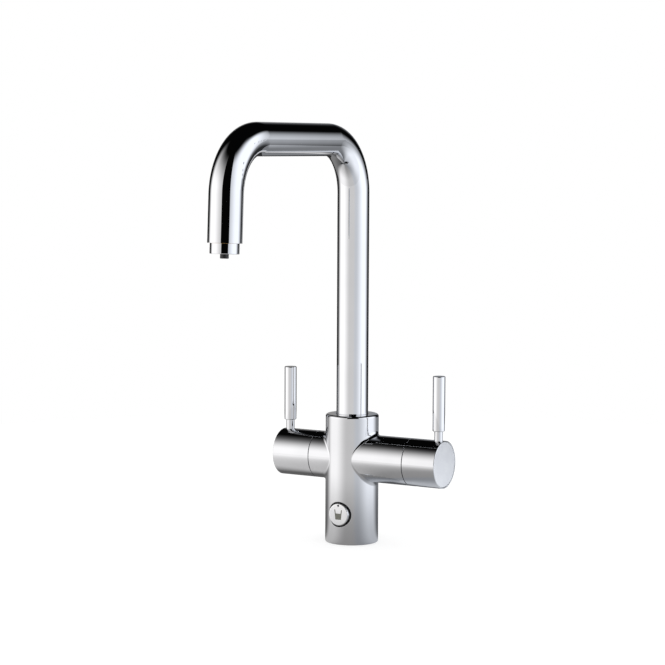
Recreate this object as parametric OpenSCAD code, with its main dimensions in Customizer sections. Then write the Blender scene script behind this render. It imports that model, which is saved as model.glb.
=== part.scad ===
// Boiling water tap: upright body, square-shouldered swivel spout, two side handles with rod
// levers and a round push button on the front. Millimetres, +Z up, the spout points along -Y.
// The origin is the mouth of the stud hole, at the centre of the foot, on the worktop.

/* [Body] */
// Diameter of the upright body
body_d = 47.1; // [46:0.1:60]
// Height of the body above the worktop
body_h = 114.2; // [114:0.1:160]
// Height of the handles' common axis above the worktop
handle_axis_z = 75.6; // [62:0.1:76]
// Bevel round the top rim of the body
rim_bevel = 0.6; // [0.2:0.1:1.5]
// Bevel round the foot of the body
foot_bevel = 0.8; // [0.2:0.1:1.5]

/* [Handles] */
// Diameter of the side bosses and of the handles
boss_d = 41.7; // [40:0.1:46]
// Distance from the body's axis to the end of the right boss
right_boss_reach = 60.3; // [56:0.1:80]
// Distance from the body's axis to the end of the left boss
left_boss_reach = 32.8; // [32:0.1:50]
// Thickness of the dark seam ring between a boss and its handle
seam_t = 0.6; // [0.3:0.1:1.5]
// Length of the right handle
right_handle_l = 31.4; // [30:0.1:45]
// Length of the left handle
left_handle_l = 36.8; // [32:0.1:50]
// Thickness of a handle's outer shell
handle_wall = 2.6; // [2:0.1:4]
// Distance from a handle's outer end to the middle of its lever
lever_inset = 6.2; // [5:0.1:7]
// Turn of the right handle's grub screw from straight up, through the front: 180 is straight down
right_grub_turn = 171; // [150:1:180]

/* [Levers] */
// Diameter of a lever's grip
grip_d = 10.8; // [9:0.1:14]
// Diameter of a lever's neck
neck_d = 7.5; // [5.6:0.1:8]
// Height of the bottom of the grip above the worktop
grip_bottom_z = 104.5; // [102:0.1:115]
// Height of the top of the grip above the worktop
grip_top_z = 152.5; // [125:0.1:190]

/* [Spout] */
// Diameter of the spout tube
tube_d = 28; // [24:0.1:30]
// Wall of the spout tube
tube_wall = 1.2; // [0.8:0.1:1.5]
// Height of the middle of the spout's top run above the worktop
run_z = 355.4; // [260:0.1:460]
// Distance from the body's axis to the middle of the spout's drop
spout_reach = 204.6; // [140:0.1:260]
// Bend radius of the spout's middle line
bend_r = 46.2; // [36:0.1:60]
// Height of the lower end of the spout tube above the worktop
drop_end_z = 273; // [200:0.1:300]
// Outward lean of the spout's drop, in degrees
drop_lean = 2.8; // [0:0.1:6]
// How far the spout turns to either side, in degrees
swivel_limit = 70; // [30:1:75]

/* [Outlet] */
// Diameter of the aerator housing
housing_d = 23.8; // [20:0.1:24]
// Height of the part of the aerator housing that shows
housing_h = 8.6; // [6:0.1:14]
// Diameter of the boiling nozzle
nozzle_d = 7; // [6:0.1:8]
// How far the boiling nozzle stands out of the aerator housing
nozzle_out = 3.7; // [1:0.1:6]
// Outer diameter of the inner tube for boiling water
inner_tube_d = 5; // [4:0.1:5.2]
// Wall of the inner tube
inner_tube_wall = 0.6; // [0.4:0.1:1]

/* [Button] */
// Diameter of the button's pocket in the body
pocket_d = 22.4; // [20:0.1:24]
// Diameter of the button cap
button_d = 19.4; // [17:0.1:19.6]
// Height of the middle of the button above the worktop
button_z = 27; // [25:0.1:40]
// Distance from the body's axis to the face of the button cap
button_face = 24.3; // [24:0.1:26]
// How far the button can be pushed in
button_travel = 0.8; // [0.4:0.1:1]
// Width of the tumbler pictogram
tumbler_w = 7.6; // [6:0.1:10]
// Height of the tumbler pictogram
tumbler_h = 8.6; // [6:0.1:10]

/* [Foot] */
// Diameter of the tapped stud hole in the foot
stud_hole_d = 6.8; // [5:0.1:8]
// Depth of the stud hole
stud_hole_l = 18; // [12:1:24]
// Diameter of the tapped inlet ports
port_d = 8.9; // [8:0.1:9.4]
// Depth of the thread in the inlet ports
port_l = 12; // [8:1:13]
// Distance between inlet ports from left to right
port_gap_x = 22; // [20:0.1:24]
// Distance between inlet ports from front to back
port_gap_y = 14; // [12:0.1:14]

/* [Hidden] */
$fn = 96;

// Clearances
running = 0.08; // a shaft that turns in its bore
snug = 0.04;    // two parts fixed together
open_gap = 0.3; // two parts that must never touch
eps = 0.02;     // how far a cut passes a face

// Body
body_r = body_d / 2;
boss_r = boss_d / 2;
gasket_groove_w = 2.8;
gasket_groove_d = 2;
gasket_groove_r = body_r - foot_bevel - 4.15;

// Spout socket in the top of the body, from the rim downwards
tube_r = tube_d / 2;
tube_bore_r = tube_r - tube_wall;
socket_r = tube_r + open_gap;
socket_floor_z = body_h - 13.2;
spigot_bore_r = tube_bore_r - 1.6;
spigot_floor_z = socket_floor_z - 20;
glide_ring_r = socket_r + 1.5;
glide_ring_z = socket_floor_z + 4.2;
glide_ring_h = 7;
thrust_t = 1;
tube_foot_z = socket_floor_z + thrust_t;

// Spigot below the tube's foot
spigot_r = spigot_bore_r - running;
spigot_foot_z = spigot_floor_z + 1.5;
spigot_top_z = tube_foot_z + 18;
spigot_duct_r = spigot_r - 3.5;
groove_floor_r = spigot_r - 1.7;
wear_groove_z = spigot_foot_z + 1.2;
wear_groove_h = 3.2;
stop_z = spigot_foot_z + 8;
stop_groove_h = 4.2;
stop_pin_r = 1.6;
stop_thread_r = 2.5;
stop_seat = 0.6; // wall between the spigot's bore and the stop screw
stop_sink = 1.4; // how far the stop screw lies below the body's surface
stop_pin_angle = asin(stop_pin_r / groove_floor_r);
oring_groove_h = 2.4;
oring_groove_z = [spigot_foot_z + 12, spigot_foot_z + 16];
oring_r = 0.9;
oring_section_r = 0.8;
stop_half_angle = swivel_limit + stop_pin_angle + 1;
spider_z = spigot_top_z - 5;
spider_h = 4;
spider_r = spigot_duct_r + 0.8;

// Inner tube and its seal in the body
inner_r = inner_tube_d / 2;
inner_foot_z = spigot_floor_z - 3;
seal_h = 2.2;
seal_r = inner_r + 2;

// Spout path
bend_turn = 90 - drop_lean;
bend_z = run_z - bend_r;
bend_y = spout_reach - bend_r;
bend_lip = 0.05; // the drop is this much thinner than the bend and reaches this far into it
drop_l = (bend_z + bend_r * cos(bend_turn) - drop_end_z) / cos(drop_lean);

// Outlet, measured along the drop from the end of the tube
bush_r = tube_bore_r - bend_lip - snug;
bush_h = 12;
bush_floor = 9;
thread_r = bush_r - 1.7;
housing_r = housing_d / 2;
housing_lip = 1;
core_r = thread_r - 1.8;
core_top = 4;
nozzle_r = nozzle_d / 2;
nozzle_l = 10;
nozzle_tip = 4;
housing_lip_w = 0.7;
outer_hole_r = 0.8;
outer_hole_in = 2.1;  // from the core's edge to the middle of its outer ring of holes
inner_hole_r = 0.7;
inner_hole_out = 1.5; // from the nozzle to the middle of its inner ring of holes
washer_w = 2;
washer_gap = 0.2;
inner_end = nozzle_tip - housing_h - nozzle_out;

// Cartridge chambers, measured outwards from the body's axis
chamber_r = 13.6;
nut_thread_r = 15;
nut_depth = 11;
mixer_floor = spigot_bore_r + 12.8;
valve_floor = spigot_bore_r + 2.8;
mixer_shoulder = right_boss_reach - nut_depth;
valve_shoulder = left_boss_reach - nut_depth + 1;
nut_l = 8.4;
mixed_port_x = 7.8;
waterway_r = 2.5;
cross_way_r = 2;
cross_way_y = port_gap_y / 2 - 0.8;
centre_way_r = 2.2;
gasket_t = 1;
base_t = 2;
disc_t = 3;
flange_t = 3;
washer_t = 1.2;
cavity_r = 9.4;
disc_r = cavity_r - 0.2;
nose_r = 11;
spindle_r = 4.9;
spindle_bore_r = spindle_r + running;
spline_r = 4.5;
hub_r = 8;
shell_r = chamber_r - 0.3;
cavity_l = 2 * disc_t + flange_t + washer_t;
lug_at = 6;
lug_w = 2;
lug_l = 3;
lug_h = 1.2;
lug_gap = 0.1;
slot_w = 5;
slot_l = 12;
spindle_groove_d = 1.1;
spindle_oring_r = 0.5;
nut_slot_w = 3;
nut_slot_d = 2;
seam_collar_l = 1.2;
seam_collar_gap = 2;
seam_sink = 0.5;
function cavity_start(floor_s) = floor_s + gasket_t + base_t;
function nose_end(reach) = reach + 0.2;
function spindle_groove(floor_s, reach) = (cavity_start(floor_s) + cavity_l + nose_end(reach)) / 2;

// Handles, measured outwards from the body's axis
right_start = right_boss_reach + seam_t;
right_end = right_start + right_handle_l;
right_lever_at = right_end - lever_inset;
left_start = left_boss_reach + seam_t;
left_end = left_start + left_handle_l;
left_lever_at = left_end - lever_inset;
web_t = 10.4;
cap_t = 2.4;
cap_recess = 2.8;
cap_r = boss_r - 1.15;
handle_bevel = 0.7;
seam_bevel = 0.25;
cap_bevel = 0.3;
hub_clear = 3.1;
grub_at = 4.5;
grub_r = 2.4;
grub_l = 8;
grub_boss_r = 4.2;
grub_flat = 0.5;
grub_touch = 0.05; // from the flat on the spindle to the grub screw's tip
socket_af = 2.5;
function grub_middle(start_s) = start_s + hub_clear + grub_at;
function spline_end(end_s) = end_s - cap_recess - web_t - 1;

// Levers
grip_bevel = 0.8;
neck_seat = 0.85;
lever_thread_r = 2.45;
lever_thread_l = 10;
lever_thread_spare = 0.5;

// Button, measured outwards from the body's axis
pocket_r = pocket_d / 2;
pocket_floor = 10.4;
button_r = button_d / 2;
housing_rim = 20;
housing_wall = 1.05;
housing_floor_t = 1.5;
cap_skirt = 16;
cap_plate_t = 3.4;
spring_r = 7.2;
spring_wire_r = 0.35;
spring_turns = 3;
switch_r = 3.4;
press_gap = 0.1; // left between the cap's post and the switch when the button is pressed
post_r = 2;
housing_floor = pocket_floor + housing_floor_t;
switch_h = cap_skirt - housing_floor - button_travel - press_gap;
housing_r_in = pocket_r - housing_wall;
wiper_z = 16.8;
wiper_h = 1.3;
wiper_seat = 0.5;
inlay_t = 0.5;
dot_r = 1;
dot_up = 8;
button_bevel = 0.5;
skirt_wall = 1.4;
tumbler_wall = 0.9;
tumbler_taper = 1.06; // how much each side draws in from the rim to the foot
tumbler_fill = 5.3;   // height of the filled part above the foot
lead_hole_r = 1.8;
lead_hole_at = 14.2;

chrome = [0.86, 0.86, 0.88];
satin = [0.8, 0.82, 0.83];
raw_brass = [0.75, 0.6, 0.32];
steel = [0.65, 0.66, 0.68];
black = [0.08, 0.08, 0.09];
white_acetal = [0.92, 0.92, 0.9];
ceramic_white = [0.95, 0.94, 0.9];
pictogram_grey = [0.47, 0.47, 0.44];

// A ring about the Z axis, from z0 to z1
module ring(r_in, r_out, z0, z1) {
  translate([0, 0, z0])
    difference() {
      cylinder(r = r_out, h = z1 - z0);
      translate([0, 0, -eps]) cylinder(r = r_in, h = z1 - z0 + 2 * eps);
    }
}

// A round bar about the Z axis with a bevel at each end
module bevelled_bar(r, z0, z1, b0, b1) {
  rotate_extrude()
    polygon([[0, z0], [r - b0, z0], [r, z0 + b0], [r, z1 - b1], [r - b1, z1], [0, z1]]);
}

// An O-ring about the Z axis
module oring(middle_r, section_r, z) {
  translate([0, 0, z]) rotate_extrude() translate([middle_r, 0]) circle(r = section_r, $fn = 24);
}

// Puts a piece whose outward direction is Z and whose upward direction is X on the right side
module on_right() {
  translate([0, 0, handle_axis_z]) rotate([0, 90, 0]) rotate([0, 0, 180]) children();
}

// The same on the left side
module on_left() {
  translate([0, 0, handle_axis_z]) rotate([0, -90, 0]) children();
}

// Puts a piece whose outward direction is Z and whose upward direction is Y on the front
module on_front() {
  translate([0, 0, button_z]) rotate([90, 0, 0]) children();
}

// Puts a piece that hangs below Z = 0 on the lower end of the spout tube
module on_drop() {
  translate([0, -bend_y, bend_z])
    rotate([-drop_lean, 0, 0]) translate([0, -bend_r, -drop_l]) children();
}

// A round bar along the spout's middle line, from foot_z up the column and end_l down the drop
module spout_bar(r, foot_z, end_l) {
  translate([0, 0, foot_z]) cylinder(r = r, h = bend_z - foot_z);
  translate([0, -bend_r, bend_z])
    rotate([90, 0, 90]) rotate_extrude(angle = 90) translate([bend_r, 0]) circle(r = r);
  translate([0, -bend_r, run_z]) rotate([90, 0, 0]) cylinder(r = r, h = bend_y - bend_r);
  translate([0, -bend_y, bend_z])
    rotate([90, 0, 90]) rotate([0, 0, 90])
      rotate_extrude(angle = bend_turn) translate([bend_r, 0]) circle(r = r);
  on_drop()
    translate([0, 0, drop_l - end_l]) cylinder(r = r - bend_lip, h = end_l + bend_lip);
}

// A tube along the same line
module along_spout(r_out, r_in, foot_z, end_l) {
  difference() {
    spout_bar(r_out, foot_z, end_l);
    spout_bar(r_in, foot_z - eps, end_l + eps);
  }
}

// ---------------------------------------------------------------- body

// The bore for a cartridge and its nut, cut inwards from the end of a boss
module chamber(floor_s, shoulder_s, reach) {
  translate([0, 0, floor_s]) cylinder(r = chamber_r, h = reach - floor_s + eps);
  translate([0, 0, shoulder_s]) cylinder(r = nut_thread_r, h = reach - shoulder_s + eps);
}

// The drilled waterways from two inlet ports to the cartridge of one side (side = 1 or -1)
module waterways(side, floor_s) {
  for (y = [-1, 1]) {
    translate([side * port_gap_x / 2, y * port_gap_y / 2, port_l - eps])
      cylinder(r = waterway_r, h = handle_axis_z - port_l);
    translate([side * port_gap_x / 2, y * cross_way_y, handle_axis_z])
      rotate([0, side * 90, 0])
        cylinder(r = cross_way_r, h = floor_s - port_gap_x / 2 + eps);
  }
}

module spout_socket() {
  translate([0, 0, spigot_floor_z]) cylinder(r = spigot_bore_r, h = body_h - spigot_floor_z);
  translate([0, 0, socket_floor_z]) cylinder(r = socket_r, h = body_h - socket_floor_z + eps);
  translate([0, 0, glide_ring_z]) cylinder(r = glide_ring_r, h = glide_ring_h);
  translate([0, 0, inner_foot_z]) cylinder(r = inner_r + running, h = spigot_floor_z - inner_foot_z);
  translate([0, 0, spigot_floor_z - seal_h]) cylinder(r = seal_r, h = seal_h + eps);
}

module body() {
  color(chrome)
    difference() {
      union() {
        bevelled_bar(body_r, 0, body_h, foot_bevel, rim_bevel);
        on_right() cylinder(r = boss_r, h = right_boss_reach);
        on_left() cylinder(r = boss_r, h = left_boss_reach);
      }
      spout_socket();
      on_right() chamber(mixer_floor, mixer_shoulder, right_boss_reach);
      on_left() chamber(valve_floor, valve_shoulder, left_boss_reach);
      waterways(1, mixer_floor);
      waterways(-1, valve_floor);
      // mixed water: out of the mixer and up into the spigot
      translate([mixed_port_x, 0, handle_axis_z]) {
        rotate([0, 90, 0]) cylinder(r = centre_way_r, h = mixer_floor - mixed_port_x + eps);
        cylinder(r = centre_way_r, h = spigot_floor_z - handle_axis_z + eps);
      }
      // boiling and filtered water: out of the valve and up into the inner tube
      translate([0, 0, handle_axis_z]) {
        rotate([0, -90, 0]) cylinder(r = centre_way_r, h = valve_floor + eps);
        cylinder(r = centre_way_r - 0.2, h = inner_foot_z - handle_axis_z + eps);
      }
      // foot: stud hole, inlet ports, gasket groove and lead hole
      translate([0, 0, -eps]) {
        cylinder(r = stud_hole_d / 2, h = stud_hole_l + eps);
        for (x = [-1, 1], y = [-1, 1])
          translate([x * port_gap_x / 2, y * port_gap_y / 2])
            cylinder(r = port_d / 2, h = port_l + eps);
        ring(gasket_groove_r, gasket_groove_r + gasket_groove_w, 0, gasket_groove_d + eps);
        translate([0, -lead_hole_at, 0])
          cylinder(r = lead_hole_r, h = button_z - pocket_r + lead_hole_r);
      }
      on_front() translate([0, 0, pocket_floor]) cylinder(r = pocket_r, h = body_r);
      translate([0, 0, stop_z])
        rotate([-90, 0, 0]) cylinder(r = stop_thread_r, h = body_r + eps);
    }
}

module base_gasket() {
  color(black)
    ring(gasket_groove_r + snug, gasket_groove_r + gasket_groove_w - snug, 0, gasket_groove_d - 0.1);
}

module thrust_washer() {
  color(white_acetal)
    ring(spigot_r + open_gap, socket_r - snug, socket_floor_z, socket_floor_z + thrust_t);
}

module upper_glide_ring() {
  color(white_acetal)
    ring(tube_r + running, glide_ring_r - snug, glide_ring_z + snug,
         glide_ring_z + glide_ring_h - snug);
}

// A socket set screw along Z, with its hexagon at the top
module set_screw(r, z0, z1) {
  difference() {
    bevelled_bar(r, z0, z1, 0.4, 0.4);
    translate([0, 0, z1 - socket_af]) cylinder(d = socket_af / cos(30), h = socket_af + eps, $fn = 6);
  }
}

module stop_screw() {
  color(steel)
    translate([0, 0, stop_z])
      rotate([-90, 0, 0]) {
        set_screw(stop_thread_r - snug, spigot_bore_r + stop_seat, body_r - stop_sink);
        translate([0, 0, groove_floor_r + open_gap])
          cylinder(r = stop_pin_r, h = spigot_bore_r + 2 * stop_seat - groove_floor_r - open_gap);
      }
}

module inner_tube_seal() {
  color(black)
    oring(inner_r + running + oring_r, oring_r - snug, spigot_floor_z - seal_h / 2);
}

// ---------------------------------------------------------------- spout

module spout_tube() {
  color(chrome) along_spout(tube_r, tube_bore_r, tube_foot_z, drop_l);
}

module spout_spigot() {
  color(raw_brass)
    difference() {
      union() {
        translate([0, 0, tube_foot_z]) cylinder(r = tube_bore_r - snug, h = spigot_top_z - tube_foot_z);
        bevelled_bar(spigot_r, spigot_foot_z, tube_foot_z + eps, 0.6, 0);
      }
      translate([0, 0, spigot_foot_z - eps])
        cylinder(r = spigot_duct_r, h = spigot_top_z - spigot_foot_z + 2 * eps);
      translate([0, 0, spider_z - spider_h / 2])
        cylinder(r = spider_r, h = spigot_top_z - spider_z + spider_h);
      ring(groove_floor_r, spigot_r + 1, wear_groove_z, wear_groove_z + wear_groove_h);
      for (z = oring_groove_z) ring(groove_floor_r, spigot_r + 1, z, z + oring_groove_h);
      // the groove that the stop screw's pin runs in
      translate([0, 0, stop_z - stop_groove_h / 2])
        rotate([0, 0, 90 - stop_half_angle])
          rotate_extrude(angle = 2 * stop_half_angle)
            translate([groove_floor_r, 0]) square([3, stop_groove_h]);
    }
}

module lower_glide_ring() {
  color(white_acetal)
    ring(groove_floor_r + snug, spigot_bore_r - running / 2, wear_groove_z + snug,
         wear_groove_z + wear_groove_h - snug);
}

module spigot_orings() {
  color(black)
    for (z = oring_groove_z)
      oring(spigot_bore_r - running / 2 - oring_section_r, oring_section_r, z + oring_groove_h / 2);
}

module inner_tube_spider() {
  color(white_acetal)
    translate([0, 0, spider_z - spider_h / 2 + snug])
      difference() {
        cylinder(r = spider_r - snug, h = spider_h);
        translate([0, 0, -eps]) cylinder(r = inner_r + snug, h = spider_h + 2 * eps);
        for (a = [45:90:315])
          rotate([0, 0, a])
            translate([(inner_r + spider_r) / 2, 0, -eps]) cylinder(r = 1.6, h = spider_h + 2 * eps);
      }
}

module inner_tube() {
  color(steel) along_spout(inner_r, inner_r - inner_tube_wall, inner_foot_z, drop_l - inner_end);
}

module outlet_bush() {
  color(raw_brass)
    on_drop()
      difference() {
        cylinder(r = bush_r, h = bush_h);
        translate([0, 0, -eps]) cylinder(r = thread_r, h = bush_floor + eps);
        cylinder(r = inner_r + snug, h = bush_h + eps);
        for (a = [0:60:300])
          rotate([0, 0, a])
            translate([(inner_r + thread_r) / 2, 0, bush_floor - eps])
              cylinder(r = 1.6, h = bush_h - bush_floor + 2 * eps);
      }
}

module aerator_washer() {
  color(black)
    on_drop()
      ring(thread_r - washer_gap - washer_w, thread_r - washer_gap, bush_floor - washer_t, bush_floor);
}

module aerator_housing() {
  color(chrome)
    on_drop()
      difference() {
        union() {
          bevelled_bar(housing_r, -housing_h, 0, 0.4, 0.3);
          translate([0, 0, -eps]) cylinder(r = thread_r - snug, h = bush_floor - washer_t + eps);
        }
        translate([0, 0, housing_lip - housing_h]) cylinder(r = core_r + snug, h = housing_h + bush_floor);
        translate([0, 0, -housing_h - eps]) cylinder(r = core_r - housing_lip_w, h = 2 * housing_lip);
      }
}

module aerator_core() {
  color(white_acetal)
    on_drop()
      translate([0, 0, housing_lip - housing_h])
        difference() {
          cylinder(r = core_r, h = housing_h - housing_lip + core_top);
          translate([0, 0, -eps])
            cylinder(r = nozzle_r + snug, h = housing_h + core_top);
          for (a = [0:20:340])
            rotate([0, 0, a])
              translate([core_r - outer_hole_in, 0, -eps])
                cylinder(r = outer_hole_r, h = housing_h + core_top);
          for (a = [10:30:340])
            rotate([0, 0, a])
              translate([nozzle_r + inner_hole_out, 0, -eps])
                cylinder(r = inner_hole_r, h = housing_h + core_top);
        }
}

module boiling_nozzle() {
  color(black)
    on_drop()
      translate([0, 0, -housing_h - nozzle_out])
        difference() {
          bevelled_bar(nozzle_r, 0, nozzle_l, 0.5, 0.3);
          translate([0, 0, -eps]) cylinder(r = inner_r - inner_tube_wall, h = nozzle_l + 2 * eps);
          translate([0, 0, nozzle_tip]) cylinder(r = inner_r + snug, h = nozzle_l);
        }
}

// ---------------------------------------------------------------- cartridges

// The round openings that a gasket, base and fixed disc share
module water_holes(h) {
  for (y = [-1, 1]) translate([0, y * cross_way_y, -eps]) cylinder(r = cross_way_r, h = h + 2 * eps);
  translate([0, 0, -eps]) cylinder(r = centre_way_r, h = h + 2 * eps);
}

module ported_disc(r, z, h) {
  translate([0, 0, z])
    difference() {
      cylinder(r = r, h = h);
      water_holes(h);
    }
}

module cartridge_gasket(floor_s) {
  color(black) ported_disc(shell_r - 1, floor_s, gasket_t);
}

module cartridge_base(floor_s) {
  color(white_acetal) ported_disc(shell_r, floor_s + gasket_t, base_t);
}

module cartridge_shell(floor_s, shoulder_s, reach) {
  start = cavity_start(floor_s);
  color(raw_brass)
    difference() {
      union() {
        translate([0, 0, start]) cylinder(r = shell_r, h = shoulder_s - start);
        translate([0, 0, start]) cylinder(r = nose_r, h = nose_end(reach) - start);
      }
      translate([0, 0, start - eps]) cylinder(r = cavity_r, h = cavity_l + eps);
      translate([0, 0, start]) cylinder(r = spindle_bore_r, h = nose_end(reach) - start + eps);
    }
}

module fixed_disc(floor_s) {
  color(ceramic_white) ported_disc(disc_r, cavity_start(floor_s), disc_t);
}

module moving_disc(floor_s) {
  color(ceramic_white)
    translate([0, 0, cavity_start(floor_s) + disc_t])
      difference() {
        cylinder(r = disc_r, h = disc_t);
        translate([-slot_w / 2, -slot_l / 2, -eps]) cube([slot_w, slot_l, disc_t / 2]);
        for (x = [-1, 1])
          translate([x * lug_at, 0, disc_t - lug_h / 2]) cube([lug_w, lug_l, lug_h + eps], center = true);
      }
}

module spindle(floor_s, reach, spline_end, grub_turn, grub_s) {
  flange_s = cavity_start(floor_s) + 2 * disc_t;
  groove_s = spindle_groove(floor_s, reach);
  color(raw_brass)
    difference() {
      union() {
        translate([0, 0, flange_s]) cylinder(r = disc_r, h = flange_t);
        translate([0, 0, flange_s]) cylinder(r = spindle_r, h = nose_end(reach) + 1 - flange_s);
        translate([0, 0, flange_s]) bevelled_bar(spline_r, 0, spline_end - flange_s, 0, 0.6);
        for (x = [-1, 1])
          translate([x * lug_at, 0, flange_s])
            cube([lug_w - 2 * lug_gap, lug_l - 2 * lug_gap, 2 * (lug_h - 2 * lug_gap)], center = true);
      }
      ring(spindle_r - spindle_groove_d, spindle_r + 1,
           groove_s - spindle_groove_d, groove_s + spindle_groove_d);
      rotate([0, 0, grub_turn])
        translate([spline_r - grub_flat, -spline_r, grub_s - grub_boss_r])
          cube([spline_r, 2 * spline_r, spline_end]);
    }
}

module spindle_oring(floor_s, reach) {
  color(black)
    oring(spindle_r - spindle_groove_d / 2, spindle_oring_r, spindle_groove(floor_s, reach));
}

module friction_washer(floor_s) {
  start = cavity_start(floor_s) + 2 * disc_t + flange_t;
  color(white_acetal) ring(spindle_bore_r, cavity_r - snug, start, start + washer_t);
}

module retaining_nut(shoulder_s) {
  color(raw_brass)
    difference() {
      ring(nose_r + snug, nut_thread_r - snug, shoulder_s, shoulder_s + nut_l);
      for (a = [0:90:270])
        rotate([0, 0, a])
          translate([0, -nut_slot_w / 2, shoulder_s + nut_l - nut_slot_d])
            cube([nut_thread_r + 1, nut_slot_w, nut_slot_d + 1]);
    }
}

module seam_ring(reach) {
  color(black)
    difference() {
      union() {
        translate([0, 0, reach]) cylinder(r = boss_r - seam_sink, h = seam_t);
        translate([0, 0, reach - seam_collar_l])
          cylinder(r = nut_thread_r - snug, h = seam_collar_l + eps);
      }
      translate([0, 0, reach - seam_collar_l - eps])
        cylinder(r = nose_r + seam_collar_gap, h = seam_collar_l + seam_t + 2 * eps);
    }
}

// ---------------------------------------------------------------- handles

module handle(start_s, end_s, lever_s, grub_turn) {
  web_s = end_s - cap_recess - web_t;
  grub_s = grub_middle(start_s);
  color(chrome)
    difference() {
      union() {
        difference() {
          bevelled_bar(boss_r, start_s, end_s, seam_bevel, handle_bevel);
          translate([0, 0, start_s - eps]) cylinder(r = boss_r - handle_wall, h = web_s - start_s + eps);
        }
        translate([0, 0, start_s + hub_clear]) cylinder(r = hub_r, h = web_s - start_s - hub_clear + eps);
        rotate([0, 0, grub_turn])
          translate([0, 0, grub_s])
            rotate([0, 90, 0]) cylinder(r = grub_boss_r, h = boss_r - handle_wall / 2);
      }
      translate([0, 0, start_s]) cylinder(r = spline_r + snug, h = web_s - start_s);
      rotate([0, 0, grub_turn])
        translate([0, 0, grub_s]) rotate([0, 90, 0]) cylinder(r = grub_r + snug, h = boss_r + 1);
      translate([0, 0, lever_s])
        rotate([0, 90, 0]) {
          translate([0, 0, boss_r - neck_seat]) cylinder(r = neck_d / 2 + snug, h = 2);
          translate([0, 0, boss_r - neck_seat - lever_thread_l])
            cylinder(r = lever_thread_r + snug, h = lever_thread_l + eps);
        }
      translate([0, 0, end_s - cap_recess]) cylinder(r = cap_r + snug, h = cap_recess + eps);
    }
}

module end_cap(end_s) {
  color(satin) bevelled_bar(cap_r, end_s - cap_recess, end_s - cap_recess + cap_t, 0,
                             cap_bevel);
}

module lever(x) {
  seat_z = handle_axis_z + boss_r - neck_seat;
  color(chrome)
    translate([x, 0, 0]) {
      translate([0, 0, seat_z - lever_thread_l + lever_thread_spare])
        cylinder(r = lever_thread_r, h = lever_thread_l);
      translate([0, 0, seat_z]) cylinder(r = neck_d / 2, h = grip_bottom_z - seat_z + 1);
      bevelled_bar(grip_d / 2, grip_bottom_z, grip_top_z, grip_bevel, grip_bevel);
    }
}

module grub_screw(start_s, grub_turn) {
  color(steel)
    rotate([0, 0, grub_turn])
      translate([0, 0, grub_middle(start_s)])
        rotate([0, 90, 0]) set_screw(grub_r, spline_r - grub_flat + grub_touch, spline_r + grub_l);
}

module mixer_gasket() { on_right() cartridge_gasket(mixer_floor); }
module mixer_base() { on_right() cartridge_base(mixer_floor); }
module mixer_shell() { on_right() cartridge_shell(mixer_floor, mixer_shoulder, right_boss_reach); }
module mixer_fixed_disc() { on_right() fixed_disc(mixer_floor); }
module mixer_moving_disc() { on_right() moving_disc(mixer_floor); }
module mixer_spindle() {
  on_right()
    spindle(mixer_floor, right_boss_reach, spline_end(right_end), right_grub_turn,
      grub_middle(right_start));
}
module mixer_spindle_oring() { on_right() spindle_oring(mixer_floor, right_boss_reach); }
module mixer_washer() { on_right() friction_washer(mixer_floor); }
module mixer_nut() { on_right() retaining_nut(mixer_shoulder); }
module right_seam_ring() { on_right() seam_ring(right_boss_reach); }
module right_handle() { on_right() handle(right_start, right_end, right_lever_at, right_grub_turn); }
module right_end_cap() { on_right() end_cap(right_end); }
module right_lever() { lever(right_lever_at); }
module right_grub_screw() { on_right() grub_screw(right_start, right_grub_turn); }

module valve_gasket() { on_left() cartridge_gasket(valve_floor); }
module valve_base() { on_left() cartridge_base(valve_floor); }
module valve_shell() { on_left() cartridge_shell(valve_floor, valve_shoulder, left_boss_reach); }
module valve_fixed_disc() { on_left() fixed_disc(valve_floor); }
module valve_moving_disc() { on_left() moving_disc(valve_floor); }
module valve_spindle() {
  on_left()
    spindle(valve_floor, left_boss_reach, spline_end(left_end), 90, grub_middle(left_start));
}
module valve_spindle_oring() { on_left() spindle_oring(valve_floor, left_boss_reach); }
module valve_washer() { on_left() friction_washer(valve_floor); }
module valve_nut() { on_left() retaining_nut(valve_shoulder); }
module left_seam_ring() { on_left() seam_ring(left_boss_reach); }
module left_handle() { on_left() handle(left_start, left_end, left_lever_at, 90); }
module left_end_cap() { on_left() end_cap(left_end); }
module left_lever() { lever(-left_lever_at); }
module left_grub_screw() { on_left() grub_screw(left_start, 90); }

// ---------------------------------------------------------------- button

module button_housing() {
  color(black)
    on_front()
      difference() {
        translate([0, 0, pocket_floor]) cylinder(r = pocket_r - snug, h = housing_rim - pocket_floor);
        translate([0, 0, housing_floor]) cylinder(r = housing_r_in, h = housing_rim);
        ring(0, housing_r_in + wiper_seat, wiper_z, wiper_z + wiper_h);
        translate([0, 0, lead_hole_at]) rotate([90, 0, 0]) cylinder(r = lead_hole_r, h = pocket_r + 1);
      }
}

module button_switch() {
  color(black)
    on_front() bevelled_bar(switch_r, housing_floor, housing_floor + switch_h, 0, 0.6);
}

// The return spring's middle line, one point for each step of its turns
spring_steps = 20;
spring_sides = 6;
spring_z0 = housing_floor + spring_wire_r;
spring_z1 = button_face - cap_plate_t - spring_wire_r;
spring_n = spring_turns * spring_steps;
function spring_ring(i) = [
  for (k = [0:spring_sides - 1])
    let (turn = 360 * i / spring_steps, a = 360 * k / spring_sides,
         r = spring_r + spring_wire_r * cos(a),
         z = spring_z0 + (spring_z1 - spring_z0) * i / spring_n + spring_wire_r * sin(a))
      [r * cos(turn), r * sin(turn), z]
];

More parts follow.
